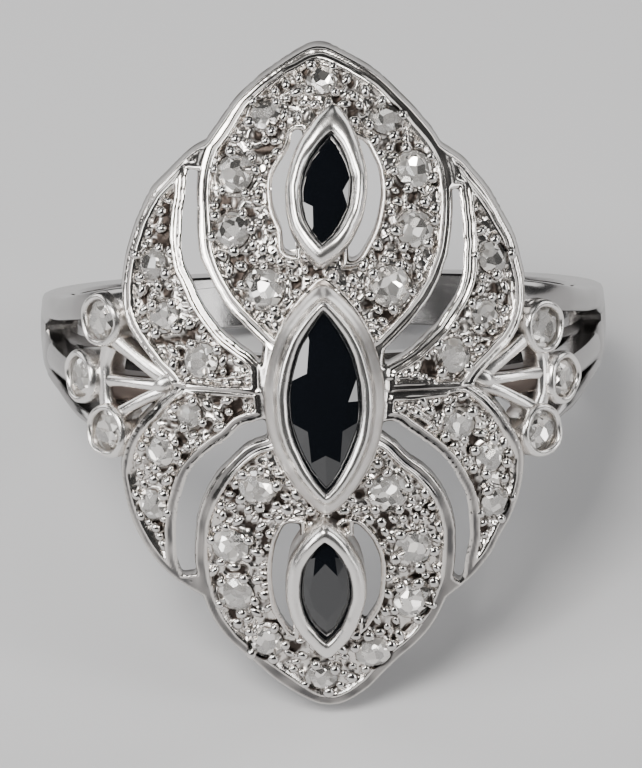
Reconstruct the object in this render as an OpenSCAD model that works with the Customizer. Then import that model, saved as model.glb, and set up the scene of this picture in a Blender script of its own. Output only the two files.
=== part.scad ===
// Lozenge plaque finger ring: a domed, pierced and stone-set head on a hoop whose
// shoulders split into three strands. Worked in the ring's own axes (x across the
// finger, y along it, z out through the head) and laid down at the end as it rests.

/* [Finger hole and hoop] */
// Radius of the finger hole
finger_r = 8.85; // [8:0.05:10]
// Thickness of the hoop at the back
hoop_t = 1.35; // [1:0.05:1.8]
// Width of the hoop at the back
back_w = 1.9; // [1.6:0.1:3]
// How far the hoop's back is worn flat
back_flat = 0.2; // [0:0.05:0.3]
// Width of the plain band that closes the finger hole under the head
band_w = 1.5; // [1.2:0.1:2.2]
// Thickness of that band
band_t = 0.9; // [0.7:0.05:1.2]

/* [Head] */
// Height of the head's crown over the middle of the finger hole
head_top = 13.7; // [13.6:0.1:15]
// Radius of the head's curve across the finger
dome_x = 12.5; // [11.5:0.1:14]
// Radius of the head's curve along the finger
dome_y = 21; // [19.5:0.5:24]
// Thickness of the head's plate
plate_t = 1.0; // [0.8:0.05:1.1]
// Depth of the stone-set fields below the polished rims
field_drop = 0.28; // [0.15:0.01:0.4]
// Width of the polished rims round the leaves
leaf_rim = 0.42; // [0.3:0.02:0.55]
// Width of the polished rims round the wings
wing_rim = 0.34; // [0.25:0.02:0.45]

/* [Shoulders] */
// Height at which the shoulders turn in to the head
shoulder_z = 8.6; // [7.5:0.1:9.2]
// How far the shoulders have come in by then
shoulder_in = 1.35; // [1:0.05:1.8]
// Radius of the turn
turn_r = 5; // [4.6:0.1:5.4]
// Thickness of the shoulders
shoulder_t = 1.1; // [0.9:0.05:1.2]

/* [Stones] */
// Length of the middle marquise stone
centre_l = 6.9; // [6.5:0.1:7.2]
// Width of the middle marquise stone
centre_w = 3.0; // [2.8:0.1:3.2]
// Length of the end marquise stones
end_l = 4.2; // [4:0.1:4.4]
// Width of the end marquise stones
end_w = 2.1; // [1.9:0.1:2.2]
// Diameter of the shoulder stones
shoulder_d = 1.5; // [1.3:0.05:1.55]
// Outer diameter of the shoulder bezels
shoulder_bezel = 1.94; // [1.8:0.02:2]
// Gap between a stone and its seat
fit = 0.03; // [0.02:0.01:0.05]

/* [Hidden] */
$fn = 96;
hoop_r = finger_r + hoop_t;
eps = 0.01;
far = 30;

// Leaf, right half, from its foot beside the middle stone to its tip.
// Columns: x, y, bow of the edge to the next row
leaf_up = [[2.12, 1.42, 0.20], [4.30, 4.60, 0.17], [4.47, 7.40, 0.05],
           [4.25, 8.40, 0.40], [0.85, 11.66, 0.14]];
leaf_low = [[2.10, 1.58, 0.36], [4.25, 4.00, 0.30], [4.55, 6.95, 0.03],
            [4.42, 7.70, 0.39], [1.00, 11.68, 0], [0.50, 11.84, 0]];
// Wing's outer edge from the waist up to where the leaf takes over
wing_up = [[5.30, 0.12, 0.08], [6.80, 1.85, 0.31], [6.93, 4.60, 0.47]];
wing_low = [[5.30, 0.12, 0.24], [6.90, 2.30, 0.33], [6.75, 4.95, 0.30]];
// Wing's edge on the slot, from its foot to the slot's end
slot_up = [[2.20, 1.00, 0.68], [5.03, 5.20, 0.07], [4.86, 7.40, 0]];
slot_low = [[2.08, 0.90, 0.52], [4.64, 3.13, 0.34], [5.05, 6.95, 0]];
// Line where the upper and the lower wings meet, and how far it may overlap
waist_lap = 0.2;

// Small stones of the head. Columns: x, y, diameter
pave = [
    [0.10, 10.78, 1.10], [-1.95, 9.65, 1.10], [-3.05, 7.65, 1.40],
    [-3.20, 5.70, 1.35], [-2.10, 3.70, 1.50], [2.35, 9.40, 1.15],
    [3.30, 7.70, 1.35], [3.30, 5.65, 1.35], [2.40, 3.70, 1.50],
    [-6.05, 4.45, 1.15], [-5.65, 2.60, 1.10], [-4.35, 1.15, 1.25],
    [6.05, 4.45, 1.15], [5.75, 2.55, 1.10], [4.60, 1.15, 1.25],
    [-4.80, -0.80, 0.95], [-5.90, -2.20, 1.15], [-6.20, -4.20, 1.15],
    [4.75, -1.30, 1.20], [5.85, -2.60, 1.15], [6.00, -4.35, 1.15],
    [-2.45, -3.40, 1.30], [-3.45, -5.60, 1.35], [-3.30, -7.45, 1.35],
    [-2.25, -9.30, 1.30], [-0.30, -10.72, 1.15], [1.60, -9.75, 1.30],
    [3.00, -7.80, 1.40], [3.05, -5.80, 1.40], [2.20, -3.65, 1.45]];
// Girdle of the small stones below the rims
pave_sink = 0.10;

// Shoulder stones. Columns: side, y, angle of the seat from the head's axis
shoulder = [[-1, 2.30, 44], [-1, 0.15, 57], [-1, -1.65, 42],
            [1, 1.80, 43], [1, -0.15, 54], [1, -1.90, 41]];
shoulder_rise = 0.45;

// Marquise settings. Columns: x, y, turn in the plane
centre_at = [0, -0.15, 0];
top_at = [0.18, 6.98, -6];
bottom_at = [-0.08, -6.98, 0];
centre_rise = 0.85;
end_rise = 0.70;
lip_t = 0.22;
// Wall of a setting outside its stone, at the ends and at the sides
wall_l = 0.52;
wall_w = 0.30;

// Circle arcs on a chord: radius from the chord and the bow
function arc_r(l, bow) = (l * l / 4 + bow * bow) / (2 * abs(bow));
function run(a, b) = norm([b[0] - a[0], b[1] - a[1]]);
function way(a, b) = atan2(b[1] - a[1], b[0] - a[0]);
function swing(a, b) = 2 * atan(2 * a[2] / run(a, b));
// Rows that go on round the mirrored left side
function both(rows) = concat(rows,
    [for (i = [len(rows) - 1:-1:0]) [-rows[i][0], rows[i][1], i > 0 ? rows[i - 1][2] : 0]]);
// The same rows walked the other way, with the bows turned
function back(rows) = [for (i = [len(rows) - 1:-1:0])
    [rows[i][0], rows[i][1], i > 0 ? -rows[i - 1][2] : 0]];
// Rows moved inwards by w
function moved(rows, w) = [for (i = [0:len(rows) - 1])
    let (n = len(rows), p = rows[(i + n - 1) % n], q = rows[i], r = rows[(i + 1) % n],
         t1 = way(p, q) + swing(p, q), t2 = way(q, r) - swing(q, r),
         n1 = [-sin(t1), cos(t1)], n2 = [-sin(t2), cos(t2)],
         m = (n1 + n2) / (1 + n1 * n2))
    [q[0] + w * m[0], q[1] + w * m[1], q[2]]];
function inset(rows, w) = let (m = moved(rows, w), n = len(rows))
    [for (i = [0:n - 1]) let (j = (i + 1) % n, l0 = run(rows[i], rows[j]), l1 = run(m[i], m[j]))
        abs(rows[i][2]) < 0.005 ? [m[i][0], m[i][1], 0] :
        let (s = sign(rows[i][2]), r = arc_r(l0, rows[i][2]) - s * w)
        [m[i][0], m[i][1], s * (r - sqrt(r * r - l1 * l1 / 4))]];

// Outline of such rows in short straight steps
steps = 9;
function on_arc(a, b, t) = let (l = run(a, b), w = way(a, b), h = 2 * atan(2 * a[2] / l),
    r = l / (2 * sin(h)), u = l / 2 + r * sin(h * (2 * t - 1)), v = r * (cos(h * (2 * t - 1)) - cos(h)))
    [a[0] + u * cos(w) + v * sin(w), a[1] + u * sin(w) - v * cos(w)];
module stepped(rows) {
    n = len(rows);
    polygon([for (i = [0:n - 1]) let (a = rows[i], b = rows[(i + 1) % n])
        each abs(a[2]) < 0.005 ? [[a[0], a[1]]] : [for (k = [0:steps - 1]) on_arc(a, b, k / steps)]]);
}

// Almond shape of a half length and a half width
module marquise(hl, hw) {
    r = (hl * hl + hw * hw) / (2 * hw);
    intersection() {
        translate([hw - r, 0]) circle(r = r);
        translate([r - hw, 0]) circle(r = r);
    }
}

// Place on the dome: turns and lifts what follows onto the point over x, y
function dome_a(y) = asin(y / dome_y);
function dome_r(y) = dome_x - dome_y + dome_y * cos(dome_a(y));
function dome_p(x, y) = asin(x / dome_r(y));
module on_dome(x, y, h = 0) {
    translate([x, y, head_top - dome_x + dome_r(y) * cos(dome_p(x, y))])
        rotate([-dome_a(y), dome_p(x, y), 0]) translate([0, 0, h]) children();
}

// Body of revolution that holds everything more than drop below the dome
module barrel(drop) {
    translate([0, 0, head_top - dome_x]) rotate([-90, 0, 0]) rotate_extrude()
        intersection() {
            translate([dome_x - dome_y, 0]) circle(r = dome_y - drop);
            translate([0, -13]) square([dome_x + 1, 26]);
        }
}

// Everything straight over a plan shape, in the head's range
module over_plan() {
    translate([0, 0, 6]) linear_extrude(10) children();
}

// Plan of one half of the head
module half_outline(leaf, wing) {
    stepped(both(concat([[wing[0][0], -waist_lap, 0]], wing, [for (i = [3:len(leaf) - 1]) leaf[i]])));
}
module slot(leaf, edge) {
    stepped(concat(edge, back([leaf[0], leaf[1], leaf[2]])));
}
end_open_r = 3.1;
end_open_w = 1.92;
module opening(grow = 0) {
    intersection() {
        translate([end_open_w - end_open_r, 6.95]) circle(r = end_open_r + grow);
        translate([end_open_r - end_open_w, 6.95]) circle(r = end_open_r + grow);
        translate([-3, 4.8 - grow]) square([6, 4.35 + 2 * grow]);
    }
}
module half_plan(leaf, wing, edge) {
    difference() {
        half_outline(leaf, wing);
        for (m = [0, 1]) mirror([m, 0]) slot(leaf, edge);
        opening();
    }
}
module head_plan() {
    half_plan(leaf_up, wing_up, slot_up);
    mirror([0, 1]) half_plan(leaf_low, wing_low, slot_low);
}

// Plan of the sunk fields that hold the small stones
module half_fields(leaf, wing, edge) {
    difference() {
        stepped(inset(both(leaf), leaf_rim));
        opening(0.2);
    }
    for (m = [0, 1]) mirror([m, 0])
        stepped(inset(concat([[edge[0][0], wing[0][1], 0]], wing,
            [[leaf[3][0], leaf[3][1], 0]], back(edge)), wing_rim));
}
module fields() {
    difference() {
        union() {
            half_fields(leaf_up, wing_up, slot_up);
            mirror([0, 1]) half_fields(leaf_low, wing_low, slot_low);
        }
        translate([centre_at[0], centre_at[1]])
            marquise(centre_l / 2 + 1.0, centre_w / 2 + 0.75);
    }
}

module plate() {
    difference() {
        intersection() {
            over_plan() head_plan();
            barrel(0);
        }
        barrel(plate_t);
        difference() {
            over_plan() fields();
            barrel(field_drop);
        }
    }
}

// Marquise setting: wall down through the plate, a lip over the stone's edge
module marquise_wall(l, w, rise, skirt) {
    translate([0, 0, -plate_t]) linear_extrude(plate_t + rise)
        marquise(l / 2 + wall_l, w / 2 + wall_w);
    if (skirt > 0) translate([0, 0, -plate_t]) linear_extrude(plate_t + rise * 0.35)
        marquise(l / 2 + wall_l + skirt, w / 2 + wall_w + skirt);
}
module marquise_seat(l, w, rise) {
    translate([0, 0, rise - lip_t - eps]) linear_extrude(lip_t + 1)
        marquise(l / 2 - 0.24, w / 2 - 0.16);
    translate([0, 0, rise - lip_t - 0.55]) linear_extrude(0.55)
        marquise(l / 2 + fit, w / 2 + fit);
    translate([0, 0, -plate_t - 1]) linear_extrude(plate_t + 1 + rise - lip_t)
        marquise(l / 2 - 0.42, w / 2 - 0.30);
}
module at_marquise(at) {
    on_dome(at[0], at[1]) rotate(at[2]) children();
}

// Round stone of diameter d with its girdle at z = 0: table, eight stars, eight
// kites and sixteen halves over the girdle, and the same cut to a point below it
table_r = 0.28;
crown_h = 0.17;
girdle_h = 0.015;
pavilion_h = 0.43;
star_r = 0.40;
lower_r = 0.16;
function on_ring(r, z, n, turn) = [for (k = [0:n - 1])
    [r * cos(360 * k / n + turn), r * sin(360 * k / n + turn), z]];
star_z = girdle_h + crown_h * (0.5 - star_r * cos(22.5)) / (0.5 - table_r);
lower_z = -girdle_h - pavilion_h * (1 - lower_r * cos(22.5) / 0.5);
// Faces of a stone from its rings: table 8, stars 8, girdle 16 and 16, lower 8, culet
stone_faces = concat(
    [[for (k = [7:-1:0]) k]],
    [for (k = [0:7]) [k, (k + 1) % 8, 8 + k]],
    [for (k = [0:7]) [k, 8 + k, 16 + 2 * k]],
    [for (k = [0:7]) [k, 16 + 2 * k, 8 + (k + 7) % 8]],
    [for (k = [0:7]) [8 + k, 17 + 2 * k, 16 + 2 * k]],
    [for (k = [0:7]) [8 + k, 16 + (2 * k + 2) % 16, 17 + 2 * k]],
    [for (k = [0:15]) [16 + k, 16 + (k + 1) % 16, 32 + (k + 1) % 16]],
    [for (k = [0:15]) [16 + k, 32 + (k + 1) % 16, 32 + k]],
    [for (k = [0:7]) [48 + k, 32 + 2 * k, 33 + 2 * k]],
    [for (k = [0:7]) [48 + k, 33 + 2 * k, 32 + (2 * k + 2) % 16]],
    [for (k = [0:7]) [56, 32 + 2 * k, 48 + k]],
    [for (k = [0:7]) [56, 48 + (k + 7) % 8, 32 + 2 * k]]);
module round_stone(d) {
    polyhedron(points = d * concat(
        on_ring(table_r, girdle_h + crown_h, 8, 0), on_ring(star_r, star_z, 8, 22.5),
        on_ring(0.5, girdle_h, 16, 0), on_ring(0.5, -girdle_h, 16, 0),
        on_ring(lower_r, lower_z, 8, 22.5), [[0, 0, -girdle_h - pavilion_h]]),
        faces = stone_faces);
}

// Almond-shaped stone, cut the same way, with its girdle at z = 0
function almond(hl, hw, k) = let (r = (hl * hl + hw * hw) / (2 * hw), a = asin(hl / r),
    q = k <= 8 ? k : 16 - k, t = -a + 2 * a * q / 8)
    [(k <= 8 ? 1 : -1) * (hw - r + r * cos(t)), r * sin(t)];
function almond_ring(hl, hw, z, first, step) = [for (k = [first:step:15])
    let (p = almond(hl, hw, k)) [p[0], p[1], z]];
table_s = 0.55;
star_s = 0.80;
lower_s = 0.36;
module marquise_stone(l, w, crown, girdle, pavilion) {
    g = girdle / 2;
    polyhedron(points = concat(
        almond_ring(l / 2 * table_s, w / 2 * table_s, g + crown, 0, 2),
        almond_ring(l / 2 * star_s, w / 2 * star_s, g + crown * 0.5, 1, 2),
        almond_ring(l / 2, w / 2, g, 0, 1), almond_ring(l / 2, w / 2, -g, 0, 1),
        almond_ring(l / 2 * lower_s, w / 2 * lower_s, -g - pavilion * 0.66, 1, 2),
        [[0, 0, -g - pavilion]]), faces = stone_faces);
}

// Seat of a round stone with its girdle at z = 0, open behind the stone
module round_seat(d) {
    translate([0, 0, -0.03 * d]) cylinder(h = 1.2, r = d / 2 + fit);
    translate([0, 0, -0.5 * d]) cylinder(h = 0.47 * d + eps, r1 = 0.1 * d, r2 = d / 2 + fit);
    translate([0, 0, -2.2]) cylinder(h = 2, r = 0.26 * d);
}

// Side view of a shoulder: x across, y is the ring's z. The side's wide arc and the
// turn's tight one cross at a small angle.
crossing = 4;
side_r = (shoulder_z * shoulder_z + shoulder_in * shoulder_in) / (2 * shoulder_in);
side_a = asin(shoulder_z / side_r);
turn_x = hoop_r - shoulder_in - turn_r * cos(side_a + crossing);
turn_z = shoulder_z - turn_r * sin(side_a + crossing);
module shoulder_side() {
    intersection() {
        translate([hoop_r - side_r, 0]) difference() {
            circle(r = side_r);
            circle(r = side_r - shoulder_t);
        }
        polygon([[6, -0.5], [12, -0.5], [12, shoulder_z + 0.8], [6, shoulder_z - 0.6]]);
    }
    intersection() {
        translate([turn_x, turn_z]) difference() {
            circle(r = turn_r);
            circle(r = turn_r - shoulder_t);
        }
        polygon([[turn_x, turn_z], [turn_x + 9 * cos(side_a), turn_z + 9 * sin(side_a)],
            [turn_x + 9, turn_z + 9], [turn_x + 9 * sin(24), turn_z + 9 * cos(24)]]);
    }
}
module along_finger(w) {
    rotate([90, 0, 0]) translate([0, 0, -w / 2]) linear_extrude(w) children();
}

// Upright outline of the hoop, seen along x. Columns: height, lower edge, upper edge
hoop_edge = [[-far, -back_w / 2, back_w / 2], [-hoop_r, -back_w / 2, back_w / 2],
             [0, -0.75, 1.75], [4, -0.80, 2.20], [6, -0.95, 2.40], [9.3, -1.60, 3.10],
             [11.4, -2.70, 3.65]];
module hoop_front() {
    n = len(hoop_edge);
    polygon(concat([for (e = hoop_edge) [e[2], e[0]]],
        [for (i = [n - 1:-1:0]) [hoop_edge[i][1], hoop_edge[i][0]]]));
}
// Gaps between the strands. Columns: finger-axis place, height
gap_upper = [[0.75, 1.5], [1.30, 3.5], [1.60, 6], [2.10, 9.2], [2.60, 11.6],
             [0.35, 11.6], [0.40, 8.5], [0.45, 3.5]];
gap_lower = [[-0.45, 3.5], [-0.42, 6], [-0.50, 9], [-0.60, 11.6],
             [-2.20, 11.6], [-1.15, 9.2], [-0.60, 6]];
module seen_across() {
    rotate([90, 0, 90]) translate([0, 0, -15]) linear_extrude(30) children();
}

module hoop() {
    difference() {
        intersection() {
            union() {
                along_finger(9) difference() {
                    circle(r = hoop_r);
                    circle(r = finger_r);
                    translate([-far, 0]) square([2 * far, far]);
                    translate([-far, back_flat - hoop_r - far]) square([2 * far, far]);
                }
                along_finger(9) for (m = [0, 1]) mirror([m, 0]) shoulder_side();
            }
            seen_across() hoop_front();
        }
        seen_across() polygon(gap_upper);
        seen_across() polygon(gap_lower);
    }
    along_finger(band_w) difference() {
        circle(r = finger_r + band_t);
        circle(r = finger_r);
    }
}

// Struts and the bar that carry the shoulder bezels, in plan on the right side
strut_w = 0.36;
module strut(a, b, w) {
    l = norm(b - a);
    translate(a) rotate(atan2(b[1] - a[1], b[0] - a[0])) translate([0, -w / 2]) square([l, w]);
}
module bracket_plan() {
    strut([5.2, 0.05], [7.5, 1.75], strut_w);
    strut([5.2, 0.05], [8.0, 0.15], strut_w);
    strut([5.2, -0.05], [7.6, -1.25], strut_w);
    intersection() {
        translate([5.2, 0.05]) difference() {
            circle(r = 3.05);
            circle(r = 2.55);
        }
        polygon([[7.2, 1.9], [9, 1.9], [9, -1.7], [7.2, -1.7]]);
    }
    translate([5.35, -0.35]) square([0.75, 0.75]);
}
module brackets() {
    for (m = [0, 1]) mirror([m, 0, 0]) intersection() {
        over_plan() bracket_plan();
        along_finger(9) shoulder_side();
    }
}

module at_shoulder(s, lift = 0) {
    r = turn_r + lift;
    translate([s[0] * (turn_x + r * sin(s[2])), s[1], turn_z + r * cos(s[2])])
        rotate([0, s[0] * s[2], 0]) children();
}
module shoulder_walls() {
    for (s = shoulder) at_shoulder(s) translate([0, 0, -shoulder_t + 0.1])
        cylinder(h = shoulder_t - 0.1 + shoulder_rise, r = shoulder_bezel / 2);
}
module shoulder_seats() {
    for (s = shoulder) at_shoulder(s) {
        translate([0, 0, shoulder_rise - 0.16]) cylinder(h = 1, r = shoulder_d / 2 - 0.06);
        translate([0, 0, shoulder_rise - 0.36]) cylinder(h = 0.21, r = shoulder_d / 2 + fit);
        translate([0, 0, shoulder_rise - 0.36 - 0.46 * shoulder_d])
            cylinder(h = 0.46 * shoulder_d, r1 = 0.1, r2 = shoulder_d / 2 + fit);
        translate([0, 0, -3]) cylinder(h = 2.8, r = 0.35);
    }
}

// The head with its settings, and the hoop with its shoulders
module head() {
    difference() {
        union() {
            plate();
            at_marquise(centre_at) marquise_wall(centre_l, centre_w, centre_rise, 0.2);
            at_marquise(top_at) marquise_wall(end_l, end_w, end_rise, 0);
            at_marquise(bottom_at) marquise_wall(end_l, end_w, end_rise, 0);
        }
        at_marquise(centre_at) marquise_seat(centre_l, centre_w, centre_rise);
        at_marquise(top_at) marquise_seat(end_l, end_w, end_rise);
        at_marquise(bottom_at) marquise_seat(end_l, end_w, end_rise);
        for (p = pave) on_dome(p[0], p[1], -pave_sink) round_seat(p[2]);
    }
}
module shank() {
    difference() {
        union() {
            hoop();
            brackets();
            shoulder_walls();
        }
        shoulder_seats();
        for (p = pave) if (abs(p[0]) > 4 && abs(p[1]) < 3)
            on_dome(p[0], p[1], -pave_sink) round_seat(p[2]);
    }
}
module metal() {
    head();
    shank();
}

// Laid down: the blunt lower tip and the flat of the hoop's back touch the floor
tip = leaf_low[len(leaf_low) - 1];
tip_r = sqrt(pow(dome_y - plate_t, 2) - tip[1] * tip[1]) - dome_y + dome_x;
tip_z = head_top - dome_x + sqrt(tip_r * tip_r - tip[0] * tip[0]);
lean = atan2(tip[1] - back_w / 2, tip_z + hoop_r - back_flat);
floor_z = (hoop_r - back_flat) * sin(lean) + back_w / 2 * cos(lean);
// Brings the middle of the laid ring's depth over the origin
mid_y = 3.178;
module laid() {
    translate([0, mid_y, floor_z]) rotate([90 - lean, 0, 0]) children();
}

module ring_metal() {
    color("silver") laid() metal();
}
module sapphire_centre() {
    color("midnightblue") laid() at_marquise(centre_at) translate([0, 0, 0.44])
        marquise_stone(centre_l, centre_w, 0.32, 0.08, 1.25);
}
module sapphire_end(at) {
    color("midnightblue") laid() at_marquise(at) translate([0, 0, 0.33])
        marquise_stone(end_l, end_w, 0.22, 0.06, 0.85);
}
module diamond(i) {
    color("white") laid() on_dome(pave[i][0], pave[i][1], -pave_sink) round_stone(pave[i][2]);
}
module shoulder_diamond(i) {
    color("white") laid() at_shoulder(shoulder[i], shoulder_rise - 0.33) round_stone(shoulder_d);
}

function numbered(name, n) = [for (i = [1:n]) str(name, i < 10 ? "0" : "", i)];
head_names = numbered("diamond_", len(pave));
side_names = numbered("shoulder_diamond_", len(shoulder));
ring_metal();
sapphire_centre();
sapphire_end(top_at);  // sapphire_top
sapphire_end(bottom_at);  // sapphire_bottom
for (i = [0:len(pave) - 1]) diamond(i);
for (i = [0:len(shoulder) - 1])
    shoulder_diamond(i);
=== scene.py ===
import math

import bpy
import numpy as np
from mathutils import Matrix, Vector


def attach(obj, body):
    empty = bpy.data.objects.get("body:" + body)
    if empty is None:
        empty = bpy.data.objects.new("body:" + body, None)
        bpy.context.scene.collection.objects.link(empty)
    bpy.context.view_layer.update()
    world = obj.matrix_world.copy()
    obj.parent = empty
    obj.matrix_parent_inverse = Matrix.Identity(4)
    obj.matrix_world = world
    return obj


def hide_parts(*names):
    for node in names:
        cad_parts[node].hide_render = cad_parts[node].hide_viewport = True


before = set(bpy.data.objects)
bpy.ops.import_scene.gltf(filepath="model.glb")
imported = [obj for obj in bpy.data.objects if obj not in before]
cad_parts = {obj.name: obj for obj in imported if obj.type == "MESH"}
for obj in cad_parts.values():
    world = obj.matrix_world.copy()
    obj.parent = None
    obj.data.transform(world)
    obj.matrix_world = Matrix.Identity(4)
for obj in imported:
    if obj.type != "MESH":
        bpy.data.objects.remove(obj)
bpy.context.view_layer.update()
MM = 0.001

# The ring's own axes: x across the finger, y along it, z out through the head, in mm
FINGER_R, HOOP_T, BACK_FLAT, BAND_W, BAND_T = 8.85, 1.35, 0.2, 1.5, 0.9
HOOP_R = FINGER_R + HOOP_T
HEAD_TOP, DOME_X, DOME_Y, PLATE_T = 13.7, 12.5, 21.0, 1.0
SHOULDER_Z, SHOULDER_IN, TURN_R, SHOULDER_T = 8.6, 1.35, 5.0, 1.1
SHOULDER_BEZEL = 1.94
SIDE_R = (SHOULDER_Z ** 2 + SHOULDER_IN ** 2) / (2 * SHOULDER_IN)
SIDE_A = math.asin(SHOULDER_Z / SIDE_R)
TURN_A, TURN_TOP = SIDE_A + math.radians(4), math.radians(84)
TURN_X = HOOP_R - SHOULDER_IN - TURN_R * math.cos(TURN_A)
TURN_Z = SHOULDER_Z - TURN_R * math.sin(TURN_A)
# Lengths along the outside: the shoulder's turn, the side, and the back to its middle
TURN_LEN, SIDE_LEN, BACK_LEN = TURN_R * (TURN_TOP - TURN_A), SIDE_R * SIDE_A, HOOP_R * math.pi / 2
# How the ring lies: lean of the head's axis, height and place of the finger's line
LEAN, FLOOR_Z, MID_Y = math.radians(30.0787102), 5.833963, 3.178
rng = np.random.default_rng(11)


def laid(p):
    """Ring axes in mm to the row frame in metres, as the ring lies."""
    p = np.asarray(p, float)
    s, c = math.sin(LEAN), math.cos(LEAN)
    return np.stack([p[..., 0], MID_Y - p[..., 2] * c + p[..., 1] * s,
                     FLOOR_Z + p[..., 1] * c + p[..., 2] * s], -1) * MM


def dome(x, u, h):
    """Point over plan place x, u, raised by h along the dome's normal."""
    al = np.arcsin(np.clip(u / DOME_Y, -1, 1))
    r = DOME_X - DOME_Y + DOME_Y * np.cos(al)
    ph = np.arcsin(np.clip(x / r, -1, 1))
    n = np.stack([np.cos(al) * np.sin(ph), np.sin(al), np.cos(al) * np.cos(ph)], -1)
    p = np.stack([x, u, HEAD_TOP - DOME_X + r * np.cos(ph)], -1)
    return p + np.asarray(h)[..., None] * n


def inner(x, u, drop=PLATE_T):
    """Point straight under x, u on the plate's underside."""
    r = np.sqrt((DOME_Y - drop) ** 2 - u ** 2) - (DOME_Y - DOME_X)
    return np.stack([x, u, HEAD_TOP - DOME_X + np.sqrt(np.maximum(r * r - x * x, 0))], -1)


def dome_frame(x, u):
    """Place on the dome as origin and three axes."""
    o = dome(np.array(x), np.array(u), 0.0)
    n = dome(np.array(x), np.array(u), 1.0) - o
    e = np.array([n[2], 0, -n[0]])
    e /= np.linalg.norm(e)
    return o, e, np.cross(n, e), n


# Meshes
def build(name, verts, faces, material, attrs, sharp=None):
    """A metal piece from arrays of ring-axes points and of faces, given as triangles or quads."""
    me = bpy.data.meshes.new(name)
    v = laid(verts)
    me.vertices.add(len(v))
    me.vertices.foreach_set("co", v.astype(np.float32).ravel())
    faces = [np.asarray(f, np.int32) for f in faces if len(f)]
    n_loops = sum(f.size for f in faces)
    n_faces = sum(len(f) for f in faces)
    me.loops.add(n_loops)
    me.loops.foreach_set("vertex_index", np.concatenate([f.ravel() for f in faces]))
    me.polygons.add(n_faces)
    sizes = np.concatenate([np.full(len(f), f.shape[1], np.int32) for f in faces])
    starts = np.concatenate([[0], np.cumsum(sizes)[:-1]]).astype(np.int32)
    me.polygons.foreach_set("loop_start", starts)
    me.polygons.foreach_set("use_smooth", np.full(n_faces, True))
    me.update(calc_edges=True)
    me.validate()
    for k, a in attrs.items():
        if len(a) == len(me.vertices):
            at = me.attributes.new(k, "FLOAT", "POINT")
            at.data.foreach_set("value", np.asarray(a, np.float32))
    if sharp is not None:
        me.set_sharp_from_angle(angle=math.radians(sharp))
    me.materials.append(material)
    ob = bpy.data.objects.new(name, me)
    bpy.context.scene.collection.objects.link(ob)
    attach(ob, "root")
    return ob


class Bag:
    """Collects many small meshes for one piece."""

    def __init__(self):
        self.v, self.f, self.recess, self.rim, self.n = [], {3: [], 4: []}, [], [], 0

    def add(self, verts, faces, recess=0.0, rim=0.0):
        for f in faces:
            f = np.asarray(f, np.int64)
            if len(f):
                self.f[f.shape[1]].append(f + self.n)
        self.v.append(np.asarray(verts, float))
        self.recess.append(np.broadcast_to(np.asarray(recess, float), (len(verts),)))
        self.rim.append(np.broadcast_to(np.asarray(rim, float), (len(verts),)))
        self.n += len(verts)

    def build(self, name, material, sharp=None):
        faces = [np.concatenate(f) for f in self.f.values() if f]
        attrs = {"recess": np.concatenate(self.recess), "rim": np.concatenate(self.rim)}
        return build(name, np.concatenate(self.v), faces, material, attrs, sharp)


def flip(faces):
    """The same faces, seen from the other side."""
    return [q[:, ::-1] for q in faces]


def loft(rings, close_u=True, cap=False):
    """Quads between rows of points, each ring of the same count."""
    rings = np.asarray(rings, float)
    m, n = rings.shape[:2]
    k = np.arange(n if close_u else n - 1)
    q = []
    for i in range(m - 1):
        a, b = i * n, (i + 1) * n
        q.append(np.stack([a + k, a + (k + 1) % n, b + (k + 1) % n, b + k], -1))
    v = rings.reshape(-1, 3)
    faces = [np.concatenate(q)]
    if cap:
        c0, c1 = rings[0].mean(0), rings[-1].mean(0)
        v = np.concatenate([v, [c0, c1]])
        t0 = np.stack([np.full(n, m * n), (k + 1) % n, k], -1)
        t1 = np.stack([np.full(n, m * n + 1), (m - 1) * n + k, (m - 1) * n + (k + 1) % n], -1)
        faces.append(np.concatenate([t0, t1]))
    return v, faces


def smooth_line(rows, step=0.12):
    """Curve through the rows, resampled evenly (Catmull-Rom)."""
    p = np.asarray(rows, float)
    q = np.concatenate([[2 * p[0] - p[1]], p, [2 * p[-1] - p[-2]]])
    out = []
    t = np.linspace(0, 1, 16, endpoint=False)[:, None]
    for i in range(1, len(q) - 2):
        a, b, c, d = q[i - 1:i + 3]
        out.append(0.5 * (2 * b + (c - a) * t + (2 * a - 5 * b + 4 * c - d) * t ** 2
                          + (3 * b - a - 3 * c + d) * t ** 3))
    out = np.concatenate(out + [p[-1:]])
    s = np.concatenate([[0], np.cumsum(np.linalg.norm(np.diff(out, axis=0), axis=1))])
    k = max(2, int(round(s[-1] / step)) + 1)
    g = np.linspace(0, s[-1], k)
    return np.stack([np.interp(g, s, out[:, j]) for j in range(out.shape[1])], -1)


def poly_sdf(poly, x, u):
    """Distance to a closed outline, positive inside."""
    shape = x.shape
    x, u = x.ravel(), u.ravel()
    best = np.full(x.shape, 1e9)
    inside = np.zeros(x.shape, bool)
    pts = np.asarray(poly, float)
    for a, b in zip(pts, np.roll(pts, -1, 0)):
        ex, eu = b - a
        wx, wu = x - a[0], u - a[1]
        t = np.clip((wx * ex + wu * eu) / max(ex * ex + eu * eu, 1e-12), 0, 1)
        best = np.minimum(best, (wx - t * ex) ** 2 + (wu - t * eu) ** 2)
        if eu != 0:
            crosses = ((a[1] > u) != (b[1] > u)) & (x < ex * (u - a[1]) / eu + a[0])
            inside ^= crosses
    d = np.sqrt(best)
    return np.where(inside, d, -d).reshape(shape)


def line_dist(line, x, u):
    """Distance to an open line."""
    best = np.full(x.shape, 1e9)
    pts = np.asarray(line, float)
    for a, b in zip(pts, pts[1:]):
        ex, eu = b - a
        wx, wu = x - a[0], u - a[1]
        t = np.clip((wx * ex + wu * eu) / (ex * ex + eu * eu), 0, 1)
        best = np.minimum(best, np.hypot(wx - t * ex, wu - t * eu))
    return best


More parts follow.
